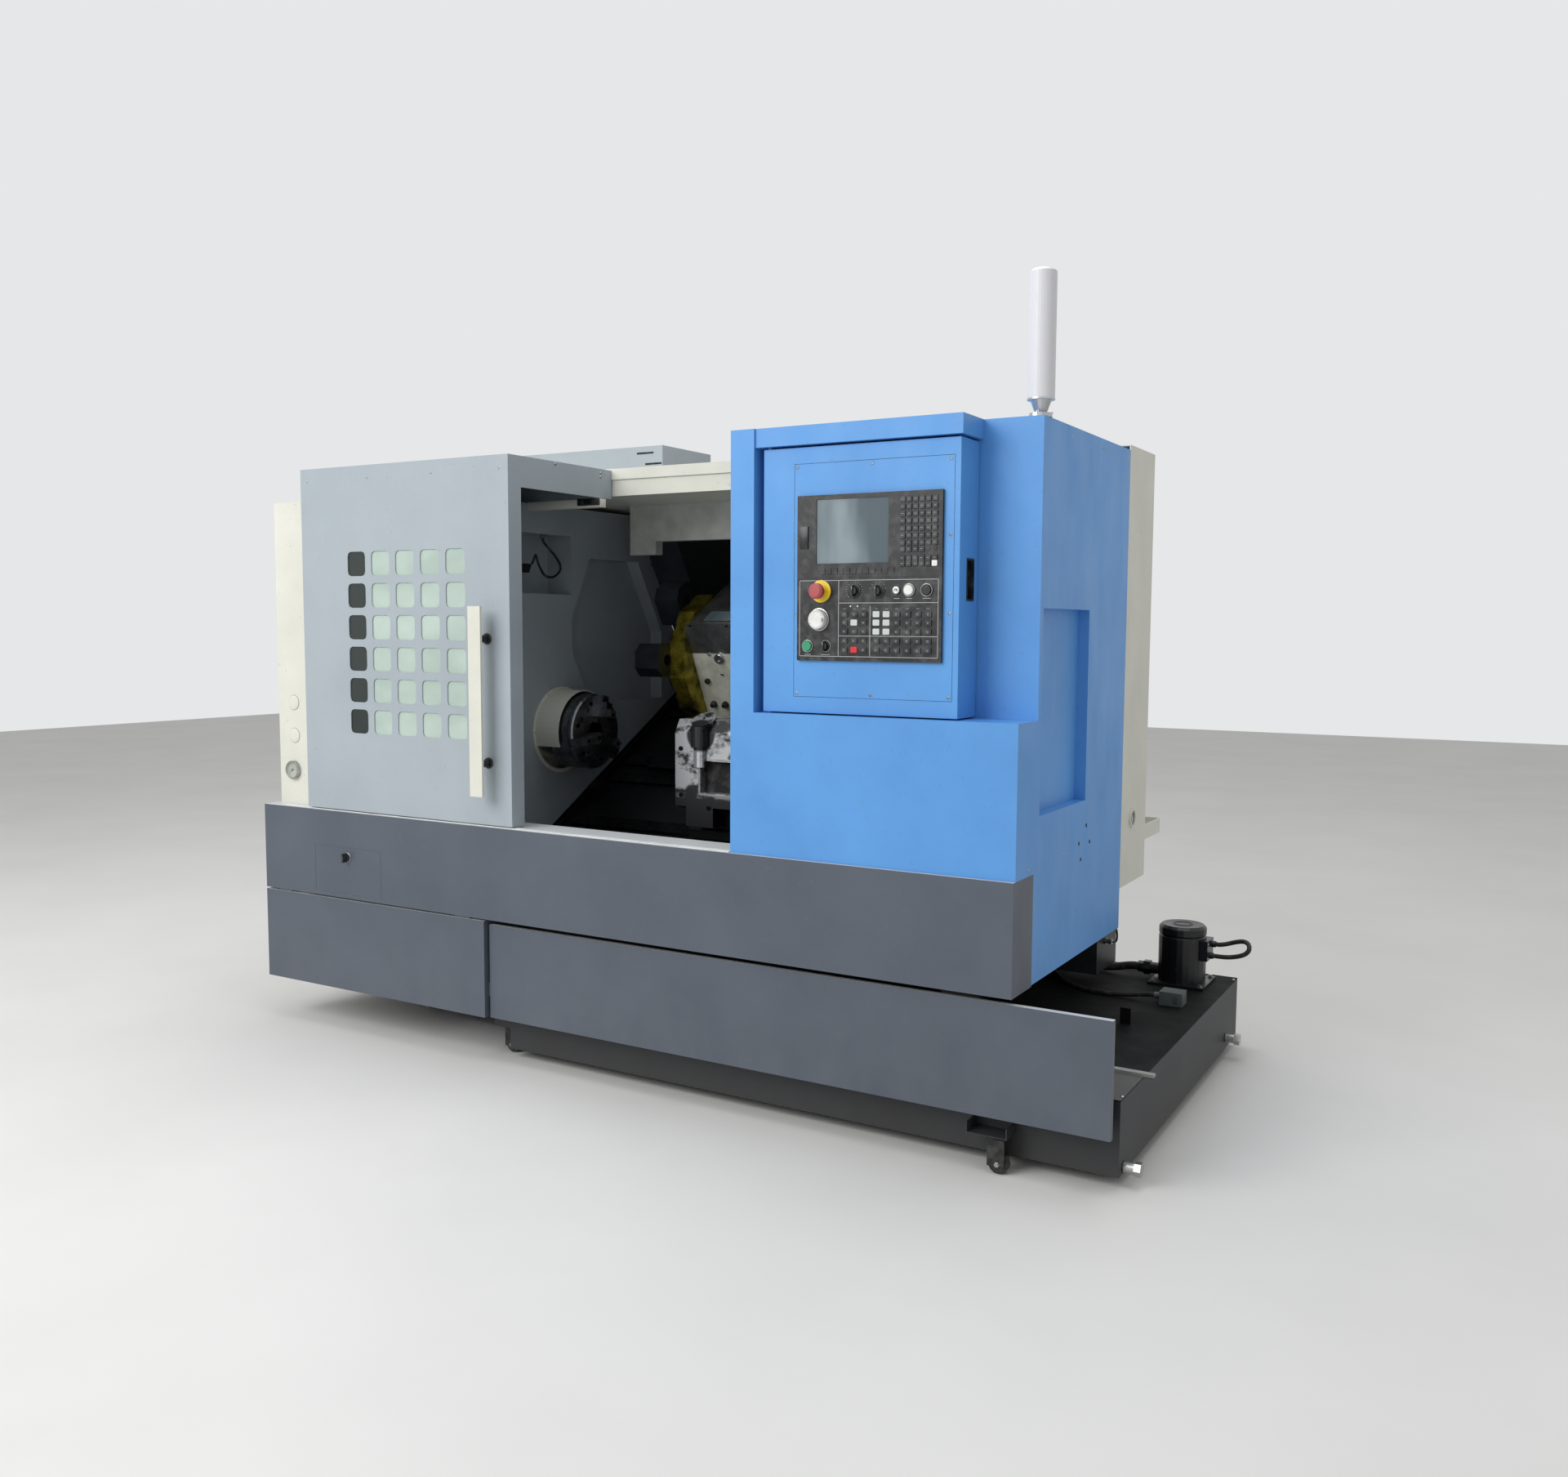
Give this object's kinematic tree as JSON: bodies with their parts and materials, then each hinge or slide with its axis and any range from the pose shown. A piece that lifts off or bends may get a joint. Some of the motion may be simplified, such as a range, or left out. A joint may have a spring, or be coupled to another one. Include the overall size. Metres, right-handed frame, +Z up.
{
  "type": "cnc turning lathe",
  "caption": "Slant bed turning lathe with a sliding door, chuck, indexing tool turret, tailstock, swivelling control panel and a coolant tank on casters.",
  "frame": {"origin": "floor point under the middle of the machine's box, measured without the loose cords", "axes": "+X to the operator's right along the spindle, +Y to the back of the machine, +Z up"},
  "size_m": [2.9549, 1.581, 2.1746],
  "materials": {
    "slate_paint": "satin powder coat, dark slate",
    "door_paint": "satin powder coat, pale blue grey",
    "blue_paint": "satin powder coat, bright blue",
    "cream_paint": "satin powder coat, cream",
    "grey_paint": "satin powder coat, mid grey",
    "tank_paint": "satin paint, very dark grey",
    "black_paint": "black paint under a film of oil",
    "cast_paint": "cream enamel on cast iron",
    "bare_iron": "machined and brushed bare metal",
    "dark_steel": "hardened dark steel, ground",
    "bright_steel": "ground bright steel",
    "oiled_steel": "ground steel under yellow slide oil",
    "glass": "laminated viewing pane",
    "opal": "frosted white lens",
    "aluminium": "turned aluminium",
    "black_plastic": "black moulded plastic",
    "white_plastic": "white moulded plastic",
    "red_plastic": "red moulded plastic",
    "green_plastic": "green moulded plastic",
    "rubber": "black rubber"
  },
  "bodies": {
    "frame": {"front_skirt": "slate_paint", "lower_left_panel": "slate_paint", "left_cover": "cream_paint", "inner_left_wall": "grey_paint", "work_lamp": "black_plastic", "chuck_guard": "cream_paint", "bed_casting": "cast_paint", "way_cover": "black_paint", "headstock": "cast_paint", "spindle_motor": "black_paint", "drive_belt": "rubber", "top_frame": "cream_paint", "back_guard": "cream_paint", "right_housing": "blue_paint", "lamp_post": "aluminium", "tower_lamp": "opal", "rear_right_cover": "grey_paint", "electrical_cabinet": "door_paint"},
    "door": {"sliding_door": "door_paint", "door_window": "glass", "door_handle": "cream_paint"},
    "flap": {"skirt_flap": "slate_paint"},
    "latch": {"flap_latch": "black_plastic"},
    "spindle": {"spindle": "bright_steel", "chuck_body": "dark_steel"},
    "jaw_1": {"chuck_jaw_1": "dark_steel"},
    "jaw_2": {"chuck_jaw_2": "dark_steel"},
    "jaw_3": {"chuck_jaw_3": "dark_steel"},
    "motor_pulley": {"motor_pulley": "bright_steel"},
    "saddle": {"saddle": "black_paint"},
    "ball_screw": {"z_ball_screw": "bright_steel"},
    "cross_slide": {"cross_slide": "bare_iron"},
    "turret": {"turret_disc": "oiled_steel"},
    "tailstock": {"tailstock": "bare_iron"},
    "quill": {"tailstock_quill": "dark_steel"},
    "control_head": {"control_box": "blue_paint", "cnc_unit": "black_plastic", "operator_panel": "black_plastic"},
    "estop": {"estop_button": "red_plastic"},
    "start": {"start_button": "green_plastic"},
    "hold": {"hold_button": "white_plastic"},
    "power": {"power_button": "black_plastic"},
    "handwheel": {"handwheel": "white_plastic"},
    "feed_knob": {"feed_knob": "black_plastic"},
    "mode_knob": {"mode_knob": "black_plastic"},
    "rapid_selector": {"rapid_selector": "black_plastic"},
    "cabinet_door": {"cabinet_door": "door_paint"},
    "main_switch": {"main_switch": "red_plastic"},
    "tank": {"coolant_tank": "tank_paint", "tank_lid": "tank_paint", "tank_front_panel": "slate_paint", "coolant_pump": "black_paint", "cable_connector": "grey_paint", "pump_cable": "rubber", "sensor_cable": "rubber", "coolant_hose": "rubber"},
    "caster_fr": {"caster_front_right": "rubber"},
    "caster_fl": {"caster_front_left": "rubber"},
    "caster_rl": {"caster_rear_left": "rubber"},
    "caster_rr": {"caster_rear_right": "rubber"}
  },
  "joints": [
    {"name": "door_slide", "type": "slide", "parent": "frame", "child": "door", "axis": [1, 0, 0], "range_m": [0, 0.74]},
    {"name": "flap_hinge", "type": "hinge", "parent": "frame", "child": "flap", "pos_m": [-1.2227, -0.74005, 0.4528], "axis": [1, 0, 0], "range_deg": [0, 100]},
    {"name": "latch_turn", "type": "hinge", "parent": "flap", "child": "latch", "pos_m": [-1.074, -0.74005, 0.574], "axis": [0, 1, 0], "range_deg": [0, 90]},
    {"name": "spindle_spin", "type": "hinge", "parent": "frame", "child": "spindle", "pos_m": [-0.7037, -0.17005, 0.967], "axis": [1, 0, 0], "continuous": true},
    {"name": "jaw_1_slide", "type": "slide", "parent": "spindle", "child": "jaw_1", "axis": [0, 0.9659, 0.2588], "range_m": [0, 0.0045]},
    {"name": "jaw_2_slide", "type": "slide", "parent": "spindle", "child": "jaw_2", "axis": [0, -0.7071, 0.7071], "range_m": [0, 0.0045]},
    {"name": "jaw_3_slide", "type": "slide", "parent": "spindle", "child": "jaw_3", "axis": [0, -0.2588, -0.9659], "range_m": [0, 0.0045]},
    {"name": "motor_spin", "type": "hinge", "parent": "frame", "child": "motor_pulley", "pos_m": [-1.1045, 0.18995, 0.34], "axis": [1, 0, 0], "continuous": true},
    {"name": "saddle_slide", "type": "slide", "parent": "frame", "child": "saddle", "axis": [1, 0, 0], "range_m": [-0.065, 0.4]},
    {"name": "screw_spin", "type": "hinge", "parent": "frame", "child": "ball_screw", "pos_m": [-0.5845, 0.31858, 0.88336], "axis": [1, 0, 0], "continuous": true},
    {"name": "x_slide", "type": "slide", "parent": "saddle", "child": "cross_slide", "axis": [0, 0.866, 0.5], "range_m": [-0.12, 0.03]},
    {"name": "turret_index", "type": "hinge", "parent": "cross_slide", "child": "turret", "pos_m": [-0.2345, 0.16705, 1.2058], "axis": [1, 0, 0], "continuous": true},
    {"name": "tailstock_slide", "type": "slide", "parent": "frame", "child": "tailstock", "axis": [1, 0, 0], "range_m": [-0.18, 0.4]},
    {"name": "quill_slide", "type": "slide", "parent": "tailstock", "child": "quill", "axis": [-1, 0, 0], "range_m": [0, 0.1]},
    {"name": "control_swivel", "type": "hinge", "parent": "frame", "child": "control_head", "pos_m": [0.4795, -0.69905, 1.0997], "axis": [0, 0, 1], "range_deg": [-90, 0]},
    {"name": "estop_push", "type": "slide", "parent": "control_head", "child": "estop", "axis": [0, 1, 0], "range_m": [0, 0.003]},
    {"name": "start_push", "type": "slide", "parent": "control_head", "child": "start", "axis": [0, 1, 0], "range_m": [0, 0.003], "stiffness_N_per_m": 400},
    {"name": "hold_push", "type": "slide", "parent": "control_head", "child": "hold", "axis": [0, 1, 0], "range_m": [0, 0.003], "stiffness_N_per_m": 400},
    {"name": "power_push", "type": "slide", "parent": "control_head", "child": "power", "axis": [0, 1, 0], "range_m": [0, 0.003], "stiffness_N_per_m": 400},
    {"name": "handwheel_spin", "type": "hinge", "parent": "control_head", "child": "handwheel", "pos_m": [0.6372, -0.71935, 1.33782], "axis": [0, 1, 0], "continuous": true},
    {"name": "feed_turn", "type": "hinge", "parent": "control_head", "child": "feed_knob", "pos_m": [0.736, -0.71935, 1.40968], "axis": [0, 1, 0], "range_deg": [-135, 135]},
    {"name": "mode_turn", "type": "hinge", "parent": "control_head", "child": "mode_knob", "pos_m": [0.8008, -0.71935, 1.40906], "axis": [0, 1, 0], "range_deg": [-75, 75]},
    {"name": "rapid_turn", "type": "hinge", "parent": "control_head", "child": "rapid_selector", "pos_m": [0.6552, -0.71935, 1.27118], "axis": [0, 1, 0], "range_deg": [-45, 45]},
    {"name": "cabinet_door_hinge", "type": "hinge", "parent": "frame", "child": "cabinet_door", "pos_m": [-1.4245, 0.76025, 0.6], "axis": [0, 0, 1], "range_deg": [0, 120]},
    {"name": "main_switch_turn", "type": "hinge", "parent": "cabinet_door", "child": "main_switch", "pos_m": [-0.7805, 0.76025, 1.4], "axis": [0, 1, 0], "range_deg": [0, 90]},
    {"name": "tank_slide", "type": "slide", "parent": "frame", "child": "tank", "axis": [1, 0, 0], "range_m": [0, 1.2]},
    {"name": "caster_fr_swivel", "type": "hinge", "parent": "tank", "child": "caster_fr", "pos_m": [1.1255, -0.71005, 0.0897], "axis": [0, 0, 1], "continuous": true},
    {"name": "caster_fl_swivel", "type": "hinge", "parent": "tank", "child": "caster_fl", "pos_m": [-0.5065, -0.61005, 0.0897], "axis": [0, 0, 1], "continuous": true},
    {"name": "caster_rl_swivel", "type": "hinge", "parent": "tank", "child": "caster_rl", "pos_m": [-0.5065, 0.56295, 0.0897], "axis": [0, 0, 1], "continuous": true},
    {"name": "caster_rr_swivel", "type": "hinge", "parent": "tank", "child": "caster_rr", "pos_m": [1.1755, 0.66295, 0.0897], "axis": [0, 0, 1], "continuous": true}
  ],
  "couplings": [
    {"joint": "jaw_2_slide", "follows": "jaw_1_slide", "ratio": 1},
    {"joint": "jaw_3_slide", "follows": "jaw_1_slide", "ratio": 1},
    {"joint": "motor_spin", "follows": "spindle_spin", "ratio": 1.5714},
    {"joint": "screw_spin", "follows": "saddle_slide", "rad_per_m": 628.32}
  ]
}
